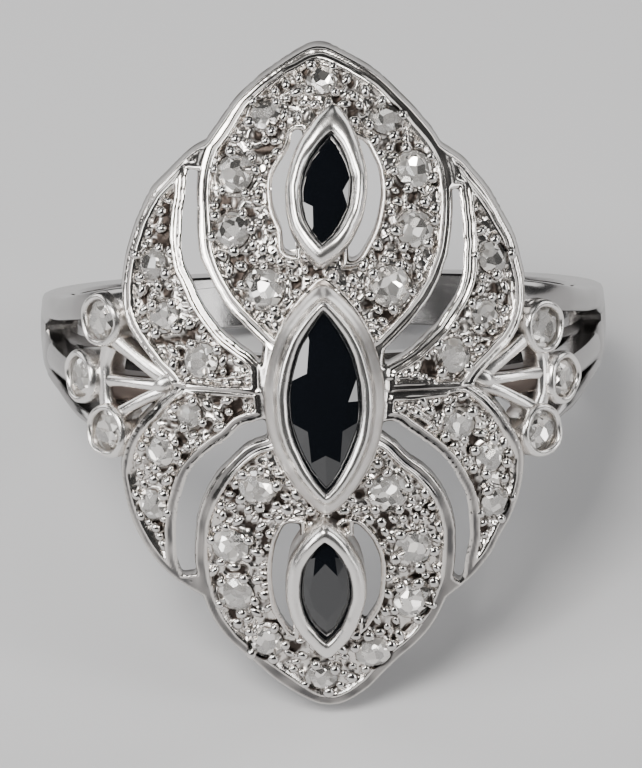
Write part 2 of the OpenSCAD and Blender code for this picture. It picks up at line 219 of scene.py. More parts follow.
def noise(x, u, size, seed, octaves=1):
    """Smooth noise from -1 to 1 on the plan, with features of that size."""
    out, amp, total = 0, 1.0, 0.0
    for o in range(octaves):
        r = np.random.default_rng(seed + 17 * o)
        g = r.uniform(-1, 1, (256, 256))
        a, b = x / size + 77.3, u / size + 91.7
        i, j = np.floor(a).astype(int), np.floor(b).astype(int)
        s, t = a - i, b - j
        s, t = s * s * (3 - 2 * s), t * t * (3 - 2 * t)
        v = (g[i % 256, j % 256] * (1 - s) * (1 - t) + g[(i + 1) % 256, j % 256] * s * (1 - t)
             + g[i % 256, (j + 1) % 256] * (1 - s) * t + g[(i + 1) % 256, (j + 1) % 256] * s * t)
        out = out + amp * v
        total += amp
        amp *= 0.5
        size = size / 2
    return out / total


def ease(t):
    """Smooth step from 0 to 1."""
    t = np.clip(t, 0, 1)
    return t * t * (3 - 2 * t)


# Plan of the head
# Half width and half length of the plan, and of the part where grains may stand
PLAN_X, PLAN_U, GRAIN_X, GRAIN_U = 7.6, 12.1, 7.2, 11.6
# Columns: x, u in mm on the dome, u towards the upper tip
LEAF_UR = [(2.10, 1.48), (2.69, 2.01), (3.17, 2.50), (3.60, 3.02), (3.94, 3.54), (4.28, 4.24),
           (4.53, 5.00), (4.65, 5.97), (4.64, 6.94), (4.50, 7.80), (4.25, 8.40)]
TIP_UR = [(4.25, 8.40), (3.95, 8.90), (3.50, 9.45), (2.98, 10.00), (2.00, 10.92), (1.00, 11.52),
          (0.35, 11.84), (0.0, 11.90)]
LEAF_UL = [(-2.14, 1.74), (-2.45, 2.05), (-2.83, 2.43), (-3.32, 2.95), (-3.76, 3.60),
           (-4.11, 4.30), (-4.32, 5.00), (-4.39, 6.00), (-4.39, 6.94), (-4.30, 7.80), (-4.03, 8.62)]
TIP_UL = [(-4.03, 8.62), (-3.49, 9.35), (-2.97, 10.02), (-2.51, 10.45), (-1.99, 10.88),
          (-0.99, 11.52), (-0.35, 11.84), (0.0, 11.90)]
LEAF_LR = [(1.90, -1.46), (2.42, -1.80), (2.97, -2.33), (3.53, -2.85), (4.00, -3.50),
           (4.30, -4.10), (4.48, -4.80), (4.55, -5.56), (4.54, -6.39), (4.44, -7.08), (4.22, -7.76)]
TIP_LR = [(4.22, -7.76), (3.94, -8.36), (3.58, -8.95), (3.08, -9.50), (2.48, -10.02),
          (1.93, -10.58), (1.45, -11.10), (0.85, -11.56), (0.40, -11.78), (0.0, -11.84)]
LEAF_LL = [(-2.00, -1.53), (-2.56, -1.74), (-3.04, -2.08), (-3.60, -2.64), (-4.01, -3.19),
           (-4.35, -3.90), (-4.60, -4.65), (-4.69, -5.42), (-4.70, -6.10), (-4.63, -6.80),
           (-4.46, -7.55)]
TIP_LL = [(-4.46, -7.55), (-4.25, -8.15), (-3.97, -8.70), (-3.54, -9.28), (-3.00, -9.78),
          (-2.44, -10.30), (-1.99, -10.74), (-1.40, -11.20), (-0.85, -11.56), (-0.40, -11.78),
          (0.0, -11.84)]
WING_UR = [(5.28, 0.04), (5.55, 0.42), (6.16, 1.02), (6.62, 1.45), (7.00, 2.08), (7.16, 2.75),
           (7.16, 3.50), (7.06, 4.05), (6.82, 5.00), (6.43, 5.80), (5.98, 6.64), (5.46, 7.32),
           (5.00, 7.86), (4.25, 8.40)]
WING_UL = [(-5.33, 0.14), (-5.62, 0.52), (-5.95, 0.88), (-6.30, 1.30), (-6.62, 1.74),
           (-6.93, 2.22), (-7.10, 2.80), (-7.12, 3.50), (-6.96, 4.50), (-6.76, 5.20), (-6.50, 5.90),
           (-5.99, 6.90), (-5.43, 7.50), (-4.99, 7.94), (-4.49, 8.36), (-4.03, 8.62)]
WING_LR = [(5.28, 0.04), (5.78, -0.35), (6.17, -0.83), (6.51, -1.39), (6.83, -1.94), (7.03, -2.57),
           (7.02, -3.40), (6.83, -4.24), (6.51, -5.00), (6.14, -5.65), (5.85, -6.20), (5.50, -6.65),
           (5.05, -7.12), (4.55, -7.52), (4.22, -7.76)]
WING_LL = [(-5.33, 0.14), (-5.80, -0.28), (-6.15, -0.68), (-6.50, -1.05), (-6.78, -1.45),
           (-7.05, -1.94), (-7.22, -2.57), (-7.27, -3.10), (-7.20, -3.75), (-7.03, -4.55),
           (-6.76, -5.28), (-6.36, -6.00), (-5.95, -6.50), (-5.45, -6.97), (-4.95, -7.30),
           (-4.46, -7.55)]
# The wing's side of each slot, from its foot to its end
SLOT_UR = [(2.10, 0.92), (2.83, 1.32), (3.38, 1.74), (3.94, 2.22), (4.35, 2.78), (4.63, 3.19),
           (4.84, 3.68), (5.00, 4.24), (5.06, 5.00), (5.01, 5.97), (4.93, 6.94)]
SLOT_UL = [(-2.25, 1.05), (-2.66, 1.45), (-2.97, 1.67), (-3.53, 2.15), (-3.94, 2.64),
           (-4.35, 3.25), (-4.62, 3.85), (-4.82, 4.35), (-4.94, 5.00), (-4.94, 6.00), (-4.84, 6.94),
           (-4.72, 7.78)]
SLOT_LR = [(2.05, -1.04), (2.49, -1.06), (2.97, -1.39), (3.46, -1.74), (3.94, -2.15),
           (4.36, -2.70), (4.70, -3.33), (4.96, -3.96), (5.06, -4.80), (5.06, -5.60), (4.96, -6.30),
           (4.85, -6.90), (4.70, -7.20)]
SLOT_LL = [(-2.10, -0.85), (-2.56, -1.02), (-2.97, -1.14), (-3.46, -1.58), (-3.94, -1.92),
           (-4.36, -2.29), (-4.70, -2.70), (-4.99, -3.19), (-5.24, -4.00), (-5.38, -4.80),
           (-5.41, -5.60), (-5.33, -6.30), (-5.17, -6.84)]
# Openings round the end settings
OPEN_TOP = [(-0.99, 4.86), (-1.33, 5.02), (-1.40, 5.70), (-1.56, 6.10), (-1.71, 6.60),
            (-1.73, 7.36), (-1.58, 7.80), (-1.30, 8.22), (-1.08, 8.60), (-0.95, 9.08),
            (-0.45, 9.14), (0.35, 9.10), (1.20, 8.84), (1.58, 8.66), (1.82, 8.26), (2.04, 7.74),
            (2.12, 7.00), (2.05, 6.42), (1.88, 5.76), (1.56, 5.14), (1.26, 4.72), (0.90, 4.62),
            (0.0, 4.75)]
OPEN_LOW = [(-0.95, -4.72), (-1.46, -4.74), (-1.77, -5.30), (-1.90, -5.80), (-1.98, -6.46),
            (-1.96, -7.20), (-1.84, -7.90), (-1.60, -8.42), (-1.30, -8.84), (-0.80, -9.02),
            (0.0, -9.05), (0.75, -9.00), (1.15, -8.72), (1.48, -8.26), (1.76, -7.75), (1.88, -7.00),
            (1.88, -6.20), (1.70, -5.60), (1.42, -5.12), (0.95, -4.72), (0.0, -4.78)]
# Small stones of the head. Columns: x, u, diameter
PAVE = [
    (0.10, 10.78, 1.10), (-1.95, 9.65, 1.10), (-3.05, 7.65, 1.40), (-3.20, 5.70, 1.35),
    (-2.10, 3.70, 1.50), (2.35, 9.40, 1.15), (3.30, 7.70, 1.35), (3.30, 5.65, 1.35),
    (2.40, 3.70, 1.50), (-6.05, 4.45, 1.15), (-5.65, 2.60, 1.10), (-4.35, 1.15, 1.25),
    (6.05, 4.45, 1.15), (5.75, 2.55, 1.10), (4.60, 1.15, 1.25), (-4.80, -0.80, 0.95),
    (-5.90, -2.20, 1.15), (-6.20, -4.20, 1.15), (4.75, -1.30, 1.20), (5.85, -2.60, 1.15),
    (6.00, -4.35, 1.15), (-2.45, -3.40, 1.30), (-3.45, -5.60, 1.35), (-3.30, -7.45, 1.35),
    (-2.25, -9.30, 1.30), (-0.30, -10.72, 1.15), (1.60, -9.75, 1.30), (3.00, -7.80, 1.40),
    (3.05, -5.80, 1.40), (2.20, -3.65, 1.45)]
# Shoulder stones. Columns: side, y, angle of the seat from the head's axis
SHOULDER = [(-1, 2.30, 44), (-1, 0.15, 57), (-1, -1.65, 42), (1, 1.80, 43), (1, -0.15, 54),
            (1, -1.90, 41)]
# Marquise settings. Columns: x, u, turn in degrees, half length and half width of the stone,
# each with the length of its wall's lower and upper tip as a share of the wall's width there
SETTINGS = {"centre": (0.0, -0.15, 0.0, 3.45, 1.50, (1.35, 1.2)),
            "top": (0.18, 6.98, -6.0, 2.10, 1.05, (1.8, 3.0)),
            "bottom": (-0.08, -6.98, 0.0, 2.10, 1.05, (2.0, 1.6))}

# Foot of the middle setting: reach beyond its stone at tips and sides, and metal round it before a
# field begins. Seat: opening beyond the stone
FOOT_TIP, FOOT_SIDE, FOOT_RIM, SEAT = 0.42, 0.30, 0.34, 0.1

# All lines by name, smoothed
L = {k: smooth_line(v) for k, v in {
    "leaf_ur": LEAF_UR, "leaf_ul": LEAF_UL, "leaf_lr": LEAF_LR, "leaf_ll": LEAF_LL,
    "tip_ur": TIP_UR, "tip_ul": TIP_UL, "tip_lr": TIP_LR, "tip_ll": TIP_LL,
    "wing_ur": WING_UR, "wing_ul": WING_UL, "wing_lr": WING_LR, "wing_ll": WING_LL,
    "slot_ur": SLOT_UR, "slot_ul": SLOT_UL, "slot_lr": SLOT_LR, "slot_ll": SLOT_LL,
    "open_top": OPEN_TOP, "open_low": OPEN_LOW}.items()}
outline = np.concatenate([L["wing_ur"], L["tip_ur"][1:], L["tip_ul"][::-1][1:],
                          L["wing_ul"][::-1][1:], L["wing_ll"][1:], L["tip_ll"][1:],
                          L["tip_lr"][::-1][1:], L["wing_lr"][::-1][1:-1]])


def slot_poly(edge, leaf, end_u):
    """Slot between the wing's side and the leaf, which it follows up to end_u."""
    keep = leaf[np.abs(leaf[:, 1]) <= abs(end_u) + 1e-6]
    return np.concatenate([edge, keep[::-1]])


# Slots, each with the u where it ends on the leaf's side
slots = [slot_poly(L["slot_ur"], L["leaf_ur"], 6.94), slot_poly(L["slot_ul"], L["leaf_ul"], 7.78),
         slot_poly(L["slot_lr"], L["leaf_lr"], 7.0), slot_poly(L["slot_ll"], L["leaf_ll"], 6.84)]
leaf_up = np.concatenate([L["leaf_ur"], L["tip_ur"][1:], L["tip_ul"][::-1][1:],
                          L["leaf_ul"][::-1][1:], [(-1.2, 1.0), (1.2, 1.0)]])
leaf_low = np.concatenate([L["leaf_ll"], L["tip_ll"][1:], L["tip_lr"][::-1][1:],
                           L["leaf_lr"][::-1][1:], [(1.2, -1.0), (-1.2, -1.0)]])


def wing_poly(wing, slot, leaf, *feet):
    """Wing between its outer edge, its leaf and its slot, closed a little past the waist."""
    end = np.abs(slot[-1, 1])
    past = leaf[np.abs(leaf[:, 1]) > end]
    return np.concatenate([wing, past[::-1], slot[::-1], feet])


wings = {"ur": wing_poly(L["wing_ur"], L["slot_ur"], L["leaf_ur"], (2.1, -0.12), (5.0, -0.22)),
         "ul": wing_poly(L["wing_ul"], L["slot_ul"], L["leaf_ul"], (-2.2, -0.08), (-5.0, -0.12)),
         "lr": wing_poly(L["wing_lr"], L["slot_lr"], L["leaf_lr"], (2.1, 0.10), (5.0, 0.22)),
         "ll": wing_poly(L["wing_ll"], L["slot_ll"], L["leaf_ll"], (-2.2, 0.24), (-5.0, 0.34))}
# Widths of the rims of the leaves, of the openings and of the wings
LEAF_RIM, OPEN_RIM = 0.44, 0.15
WING_RIM = {"ur": 0.44, "ul": 0.36, "lr": 0.34, "ll": 0.34}


def marquise_sdf(x, u, cx, cu, turn, hl, hw):
    """Distance to an almond outline, positive inside."""
    t = math.radians(turn)
    a = (x - cx) * math.cos(t) + (u - cu) * math.sin(t)
    b = -(x - cx) * math.sin(t) + (u - cu) * math.cos(t)
    r = (hl * hl + hw * hw) / (2 * hw)
    d = r - np.hypot(np.abs(a) + r - hw, b)
    tip = np.hypot(a, np.abs(b) - hl)
    return np.where(np.abs(b) * (r - hw) > (np.abs(a) + r - hw) * hl, np.where(d > 0, d, -tip), d)


class Plan:
    """Distances on the plan: from its edges, from the middle setting's foot, into the fields."""

    def __init__(self, x, u, detail=True):
        # the edges of slots and rims wander a little, as handwork does
        wx = x + 0.045 * noise(x, u, 1.1, 3) + 0.018 * noise(x, u, 0.35, 4)
        wu = u + 0.045 * noise(x, u, 1.1, 5) + 0.018 * noise(x, u, 0.35, 6)
        edge = poly_sdf(outline, x, u)
        for s in slots:
            edge = np.minimum(edge, -poly_sdf(s, wx, wu))
        # metal joins the tips of the end settings to the leaves
        top = np.minimum.reduce([poly_sdf(L["open_top"], x, u),
                                 np.maximum(np.abs(x - 0.18) - 0.80, 8.35 - u),
                                 np.maximum(np.abs(x) - 0.92, u - 5.2)])
        low = np.minimum.reduce([poly_sdf(L["open_low"], x, u),
                                 np.maximum(np.abs(x) - 0.95, -5.2 - u),
                                 np.maximum(np.abs(x) - 1.25, u + 8.4)])
        opening = -np.maximum(top, low)
        self.edge = np.minimum(edge, opening)
        if detail:
            leaf = np.maximum(poly_sdf(leaf_up, wx, wu), poly_sdf(leaf_low, wx, wu)) - LEAF_RIM
            field = np.minimum(leaf, opening - OPEN_RIM)
            for k, w in wings.items():
                field = np.maximum(field, poly_sdf(w, wx, wu) - WING_RIM[k])
            c = SETTINGS["centre"]
            self.centre = -marquise_sdf(x, u, c[0], c[1], 0, c[3] + FOOT_TIP, c[4] + FOOT_SIDE)
            self.field = np.minimum(field, self.centre - FOOT_RIM)


def grid_sheet(x0, x1, u0, u1, step, level):
    """Grid of plan points, its kept quads and boundary, snapped to the level's zero line."""
    gx, gu = np.meshgrid(np.arange(x0, x1 + step / 2, step), np.arange(u0, u1 + step / 2, step),
                         indexing="ij")
    d = level(gx, gu)
    e = step * 0.2
    dx = (level(gx + e, gu) - level(gx - e, gu)) / (2 * e)
    du = (level(gx, gu + e) - level(gx, gu - e)) / (2 * e)
    n = np.maximum(np.hypot(dx, du), 0.3)
    near = np.abs(d) < step * 0.55
    px = np.where(near, gx - d * dx / n ** 2, gx)
    pu = np.where(near, gu - d * du / n ** 2, gu)
    ok = near | (d > 0)
    cell = ok[:-1, :-1] & ok[1:, :-1] & ok[1:, 1:] & ok[:-1, 1:]
    mid = level((px[:-1, :-1] + px[1:, 1:]) / 2, (pu[:-1, :-1] + pu[1:, 1:]) / 2)
    cell &= mid > -step * 0.1
    idx = np.arange(gx.size).reshape(gx.shape)
    quads = np.stack([idx[:-1, :-1], idx[1:, :-1], idx[1:, 1:], idx[:-1, 1:]], -1)[cell]
    edges = np.concatenate([quads[:, [k, (k + 1) % 4]] for k in range(4)])
    key = np.sort(edges, 1)
    code = key[:, 0].astype(np.int64) * gx.size + key[:, 1]
    _, first, count = np.unique(code, return_index=True, return_counts=True)
    border = edges[first[count == 1]]
    used = np.unique(quads)
    remap = np.full(gx.size, -1)
    remap[used] = np.arange(len(used))
    return px.ravel()[used], pu.ravel()[used], remap[quads], remap[border]


def stone_gap(x, u):
    """Distance outside the nearest small stone's girdle."""
    d = np.full(x.shape, 9.0)
    for sx, su, dia in PAVE:
        cu = math.cos(math.asin(su / DOME_Y))
        cx = math.cos(math.asin(sx / (DOME_X - DOME_Y + DOME_Y * cu)))
        d = np.minimum(d, np.hypot((x - sx) / cx, (u - su) / cu) - dia / 2)
    return d


# Fine wires along the waist. Columns: line, height, half width
WAIST = [([(-5.33, 0.30), (-4.6, 0.30), (-3.6, 0.20), (-2.35, 0.08)], 0.06, 0.06),
         ([(2.45, 0.10), (3.6, 0.09), (4.6, 0.06), (5.25, 0.10)], 0.06, 0.06),
         ([(2.3, -0.30), (3.2, -0.27), (4.35, -0.24)], 0.06, 0.06),
         ([(-2.55, -0.30), (-2.85, -0.85)], 0.04, 0.05),
         ([(2.8, -0.55), (3.5, -1.05), (3.95, -1.45)], 0.05, 0.05),
         ([(3.1, -0.55), (3.75, -1.05)], 0.04, 0.05),
         ([(2.2, 0.55), (3.2, 0.45), (3.9, 0.35)], 0.04, 0.05),
         ([(-2.5, 0.75), (-3.2, 0.60), (-3.9, 0.50)], 0.04, 0.05)]
# Sunk fields: height, width of the step down to them. Edge of a field: height and width of its burr
FIELD_H, FIELD_STEP, BURR_H, BURR_W = -0.23, 0.12, 0.045, 0.075
# Rims: depth and width of the rounding at the edge, and depth, place and half width of the hollow
ROUND_H, ROUND_W, HOLLOW_H, HOLLOW_AT, HOLLOW_W = 0.09, 0.13, 0.05, 0.21, 0.10
# Rise of the plate to the middle setting: height, width, reach along the finger
COLLAR_H, COLLAR_W, COLLAR_U = 0.16, 0.30, 3.6


def top_height(x, u, p):
    """Height over the dome, and painted shade in the recesses and a painted dark reflection along
    the rims, each from 0 to 1, which the metal's colour reads.
    """
    f = ease((p.field + 0.02) / FIELD_STEP)
    lumps = 0.5 - np.abs(noise(x, u, 0.42, 21)) - 0.3 * np.abs(noise(x, u, 0.20, 23))
    rough = 0.16 * lumps + 0.04 * noise(x, u, 0.13, 24)
    # the ground of a field rises towards each stone's seat
    gap = stone_gap(x, u)
    field_h = np.maximum(FIELD_H + rough, -0.10 - 0.14 * np.clip(gap / 0.14, 0, 1) + 0.5 * rough)
    burr = BURR_H * np.exp(-((p.field + 0.03) / BURR_W) ** 2)
    wave = 0.015 * noise(x, u, 0.9, 31, 2)
    edge_drop = ROUND_H * (1 - np.clip(p.edge / ROUND_W, 0, 1)) ** 2
    hollow = HOLLOW_H * np.exp(-((p.field + HOLLOW_AT) / HOLLOW_W) ** 2) * (p.edge > 0.1)
    rim_h = burr + wave - edge_drop - hollow
    h = rim_h * (1 - f) + field_h * f
    collar = np.exp(-np.clip(p.centre, 0, 9) / COLLAR_W)
    h = h + COLLAR_H * collar * (np.abs(u) < COLLAR_U)
    for line, height, width in WAIST:
        d = line_dist(smooth_line(line), x, u)
        w = np.exp(-(d / width) ** 2)
        h = np.maximum(h, height * w + h * (1 - w))
    # painted shade in the deep parts of the fields and in a ring round each stone's seat
    girdle = np.exp(-(np.maximum(gap, 0) / 0.05) ** 2)
    recess = np.maximum(f * np.clip((-0.19 - h) / 0.09, 0, 1), 0.9 * girdle)
    # painted dark reflection along the middle of the polished rims, none near the middle setting,
    # weaker on the upper half
    rim = (1 - f) * np.clip((p.edge - 0.07) / 0.06, 0, 1) * np.clip((-p.field - 0.06) / 0.06, 0, 1)
    rim *= np.clip(p.centre / 0.5 - 0.6, 0, 1) * (0.85 + 0.3 * noise(x, u, 0.5, 41))
    rim *= 0.35 + 0.65 * np.clip((0.8 - u) / 1.6, 0, 1)
    return h, np.clip(recess, 0, 1), np.clip(rim, 0, 1)


# Materials
def principled(name, values):
    """Material with its node tree and shader, whose inputs get those values."""
    m = bpy.data.materials.new(name)
    m.use_nodes = True
    b = m.node_tree.nodes["Principled BSDF"]
    for k, v in values.items():
        b.inputs[k].default_value = v
    return m, m.node_tree, b


def node(nt, kind, values=None, links=None, **settings):
    """New node with those settings, values of its inputs, and other nodes' outputs linked to it."""
    n = nt.nodes.new("ShaderNode" + kind)
    for k, v in settings.items():
        setattr(n, k, v)
    for k, v in (values or {}).items():
        n.inputs[k].default_value = v
    for k, out in (links or {}).items():
        nt.links.new(out, n.inputs[k])
    return n


def ramp(nt, fac, ends):
    """Colour ramp between two ends, each a position and a colour."""
    n = node(nt, "ValToRGB", links={"Fac": fac})
    for element, (position, color) in zip(n.color_ramp.elements, ends):
        element.position = position
        element.color = (*color, 1)
    return n.outputs["Color"]


# Colour of the painted dark reflection along the rims
RIM_PAINTED_REFLECTION = (0.12, 0.117, 0.118, 1)


def metal_material(name, base, shade_paint, roughness, scratch):
    """Polished metal with painted shade in its recesses, which are duller too, a painted dark
    reflection along its rims, and fine scratches.
    """
    m, nt, b = principled(name, {"Metallic": 1.0, "Roughness": roughness})
    recess = node(nt, "Attribute", attribute_name="recess").outputs["Fac"]
    rim = node(nt, "Attribute", attribute_name="rim").outputs["Fac"]
    place = node(nt, "TexCoord").outputs["Object"]
    spots = node(nt, "TexNoise", {"Scale": 900.0, "Detail": 4.0}, {"Vector": place}).outputs["Fac"]
    # painted shade from the recess attribute, with random spots of tone
    shade_and_tone = node(nt, "Math", {1: 0.5}, {0: spots, 2: recess}, operation="MULTIPLY_ADD").outputs[0]
    color = ramp(nt, shade_and_tone, ((0.42, base), (1.0, shade_paint)))
    # painted dark reflection on the rims
    mix = node(nt, "MixRGB", {"Color2": RIM_PAINTED_REFLECTION}, {"Fac": rim, "Color1": color})
    nt.links.new(mix.outputs["Color"], b.inputs["Base Color"])
    limits = {"From Min": 0.25, "From Max": 1.0, "To Min": roughness, "To Max": roughness + 0.22}
    dull = node(nt, "MapRange", limits, {"Value": shade_and_tone})
    nt.links.new(dull.outputs["Result"], b.inputs["Roughness"])
    fine = node(nt, "TexNoise", {"Scale": 2600.0, "Detail": 3.0}, {"Vector": place}).outputs["Fac"]
    bump = node(nt, "Bump", {"Strength": scratch, "Distance": 0.00002}, {"Height": fine})
    nt.links.new(bump.outputs["Normal"], b.inputs["Normal"])
    return m


# Columns: name, colour, colour of the painted shade in deep places, roughness, strength of the
# scratches
gold = metal_material("white_gold_polished", (0.66, 0.64, 0.62), (0.12, 0.085, 0.065), 0.17, 0.35)
# the settings: a brighter copy of the white gold, a painted highlight, with a duller finish
gold_bezel_lit = metal_material("white_gold_bezel_painted_highlight", (0.86, 0.835, 0.81), (0.16, 0.115, 0.09), 0.25, 0.5)
# the shank and inner band: a darker copy of the white gold, painted shade
gold_hoop_shaded = metal_material("white_gold_hoop_painted_shade", (0.38, 0.37, 0.365), (0.10, 0.08, 0.07), 0.20, 0.3)
gold_field = metal_material("white_gold_cut", (0.76, 0.725, 0.69), (0.055, 0.044, 0.038), 0.17, 0.5)


def stone_material(name, color, ior, rough, tint_noise, clear):
    """Cut stone whose colour varies a little."""
    m, nt, b = principled(name, {"Roughness": rough, "IOR": ior, "Transmission Weight": clear,
                                 "Base Color": (*color, 1)})
    place = node(nt, "TexCoord").outputs["Object"]
    tex = node(nt, "TexNoise", {"Scale": tint_noise}, {"Vector": place})
    tint = ramp(nt, tex.outputs["Fac"], ((0.35, [c * 0.86 for c in color]), (0.7, color)))
    nt.links.new(tint, b.inputs["Base Color"])
    return m


def add_cells(material, cell, turn, silvered):
    """Splits a stone's look into cells that turn its normal, a share of them like mirrors."""
    nt = material.node_tree
    b = nt.nodes["Principled BSDF"]
    place = node(nt, "TexCoord").outputs["Object"]
    cells = node(nt, "TexVoronoi", {"Scale": 1.0 / cell}, {"Vector": place}).outputs["Color"]
    off = node(nt, "VectorMath", {1: (turn, turn, turn), 2: (-turn / 2, -turn / 2, -turn / 2)},
               {0: cells}, operation="MULTIPLY_ADD").outputs["Vector"]
    normal = node(nt, "NewGeometry").outputs["Normal"]
    turned = node(nt, "VectorMath", links={0: normal, 1: off}).outputs["Vector"]
    unit = node(nt, "VectorMath", links={0: turned}, operation="NORMALIZE").outputs["Vector"]
    nt.links.new(unit, b.inputs["Normal"])
    part = node(nt, "SeparateColor", links={"Color": cells}).outputs
    limits = {"From Min": 0.95 - silvered, "From Max": 1.05 - silvered, "To Max": 0.85}
    mirror = node(nt, "MapRange", limits, {"Value": part["Green"]})
    nt.links.new(mirror.outputs["Result"], b.inputs["Metallic"])
    dull = node(nt, "MapRange", {"To Min": 0.03, "To Max": 0.34}, {"Value": part["Blue"]})
    nt.links.new(dull.outputs["Result"], b.inputs["Roughness"])


diamond = stone_material("diamond_cut", (1.0, 0.97, 0.93), ior=2.4, rough=0.03, tint_noise=400.0,
                         clear=0.70)
add_cells(diamond, cell=0.00032, turn=1.0, silvered=0.5)
sapphire = stone_material("sapphire_cut", (0.003, 0.004, 0.006), ior=1.85, rough=0.02,
                          tint_noise=300.0, clear=0.0)

# Plate of the head
# Grid steps of the plate's upper and under face
STEP = 0.055
UNDER_STEP = 0.13
# Radius of the hole under a small stone, as a share of the stone's width
HOLE = 0.27


def open_level(x, u):
    """Plate's level, positive inside its edges and outside the middle setting's seat."""
    c = SETTINGS["centre"]
    seat = marquise_sdf(x, u, c[0], c[1], 0, c[3] + SEAT, c[4] + SEAT)
    return np.minimum(Plan(x, u, detail=False).edge, -seat)


def top_level(x, u):
    """Level of the plate's upper face, open under each small stone."""
    return np.minimum(open_level(x, u), stone_gap(x, u) + 0.03)


def low_level(x, u):
    """Level of the plate's under face, with a small hole below each small stone."""
    d = open_level(x, u)
    for sx, su, dia in PAVE:
        d = np.minimum(d, np.hypot(x - sx, u - su) - HOLE * dia)
    return d


def runs(a, b):
    """Border edges a to b put in order, as rows of point numbers and whether each row closes."""
    after, left = {}, []
    for i, j in zip(a.tolist(), b.tolist()):
        if i in after:
            left.append(([i, j], False))
        else:
            after[i] = j
    ends = set(after.values())
    seen, out = set(), []
    for start in [k for k in after if k not in ends] + list(after):
        if start in seen:
            continue
        row = [start]
        seen.add(start)
        while row[-1] in after and after[row[-1]] not in seen:
            row.append(after[row[-1]])
            seen.add(row[-1])
        last = after.get(row[-1])
        closed = last == start
        out.append((row if closed or last is None else row + [last], closed))
    return out + left


def even_row(p, closed, step):
    """A row of plan points, smoothed and spaced evenly."""
    for _ in range(6 if len(p) > 4 else 0):
        q = (np.roll(p, 1, 0) + 2 * p + np.roll(p, -1, 0)) / 4
        if not closed:
            q[0], q[-1] = p[0], p[-1]
        p = q
    if closed:
        p = np.concatenate([p, p[:1]])
    s = np.concatenate([[0], np.cumsum(np.linalg.norm(np.diff(p, axis=0), axis=1))])
    g = np.linspace(0, s[-1], max(2, int(round(s[-1] / step)) + 1))
    return np.stack([np.interp(g, s, p[:, 0]), np.interp(g, s, p[:, 1])], -1)


def plate_piece(name, u0, u1):
    """Upper face of the plate from u0 to u1, with walls down to its under face."""
    x, u, quads, border = grid_sheet(-PLAN_X, PLAN_X, u0, u1, STEP, top_level)
    p = Plan(x, u)
    h, recess, rim = top_height(x, u, p)
    top = dome(x, u, h)
    bag = Bag()
    bag.add(top, [quads], recess, rim)
    # walls round the outline and the piercings, not round the small seats
    a, b = border[:, 0], border[:, 1]
    m = ((x[a] + x[b]) / 2, (u[a] + u[b]) / 2)
    keep = (stone_gap(*m) > 0.02) & (np.abs(m[1] - u0) > STEP * 0.2)
    keep &= np.abs(m[1] - u1) > STEP * 0.2
    a, b = a[keep], b[keep]
    for row, closed in runs(a, b):
        w = even_row(np.stack([x[row], u[row]], -1), closed, 1.5 * STEP)
        wx, wu = w[:, 0], w[:, 1]
        upper, lower = dome(wx, wu, top_height(wx, wu, Plan(wx, wu))[0]), inner(wx, wu, PLATE_T)
        v, f = loft([upper + (lower - upper) * t for t in (0, 0.5, 1)], close_u=False)
        # painted shade on the walls, darker towards the plate's underside
        bag.add(v, flip(f), np.repeat([0.15, 0.45, 0.7], len(w)))
    return bag.build(name, gold_field)


n_half = int(round(PLAN_U / STEP))
plate_piece("plate_lower", -n_half * STEP, 0.0)
plate_up = plate_piece("plate_upper", 0.0, n_half * STEP)

bag = Bag()
x, u, quads, _ = grid_sheet(-PLAN_X, PLAN_X, -PLAN_U, PLAN_U, UNDER_STEP, low_level)
# painted shade on the underside, with random tone
bag.add(inner(x, u, PLATE_T), flip([quads]), 0.3 + 0.3 * noise(x, u, 0.6, 9))
ring_t = np.linspace(0, 2 * np.pi, 24, endpoint=False)
round_x, round_u = np.cos(ring_t)[:, None], np.sin(ring_t)[:, None]
for sx, su, dia in PAVE:
    rings = []
    for r, h in ((dia / 2 - 0.03, -0.13), (HOLE * dia, -0.62), (HOLE * dia, None)):
        cx, cu = sx + r * np.cos(ring_t), su + r * np.sin(ring_t)
        if h is None:
            rings.append(inner(cx, cu, PLATE_T))
        else:
            o, e, g, n = dome_frame(sx, su)
            rings.append(o + r * round_x * e + r * round_u * g + h * n)
    v, f = loft(rings)
    # painted shade in the seats under the small stones
    bag.add(v, flip(f), 0.35)
bag.build("plate_under", gold_field)


# Marquise settings
# Points along one side of an almond. Inside the stone's edge the tips move in by this share of the
# distance from that edge
ALMOND_N = 64
INSIDE_TIP = {"centre": 0.9, "top": 0.3, "bottom": 0.3}


def almond(hl, hw, n, round_tip):
    """Almond outline, counterclockwise, n points a side, its tips softened so many times."""
    r = (hl * hl + hw * hw) / (2 * hw)
    a = math.asin(hl / r)
    t = np.linspace(-a, a, n, endpoint=False)
    right = np.stack([hw - r + r * np.cos(t), r * np.sin(t)], -1)
    p = np.concatenate([right, -right])
    near_tip = (np.abs(p[:, 1]) / hl > 0.86)[:, None]
    for _ in range(round_tip):
        p = np.where(near_tip, (np.roll(p, 1, 0) + 2 * p + np.roll(p, -1, 0)) / 4, p)
    return p


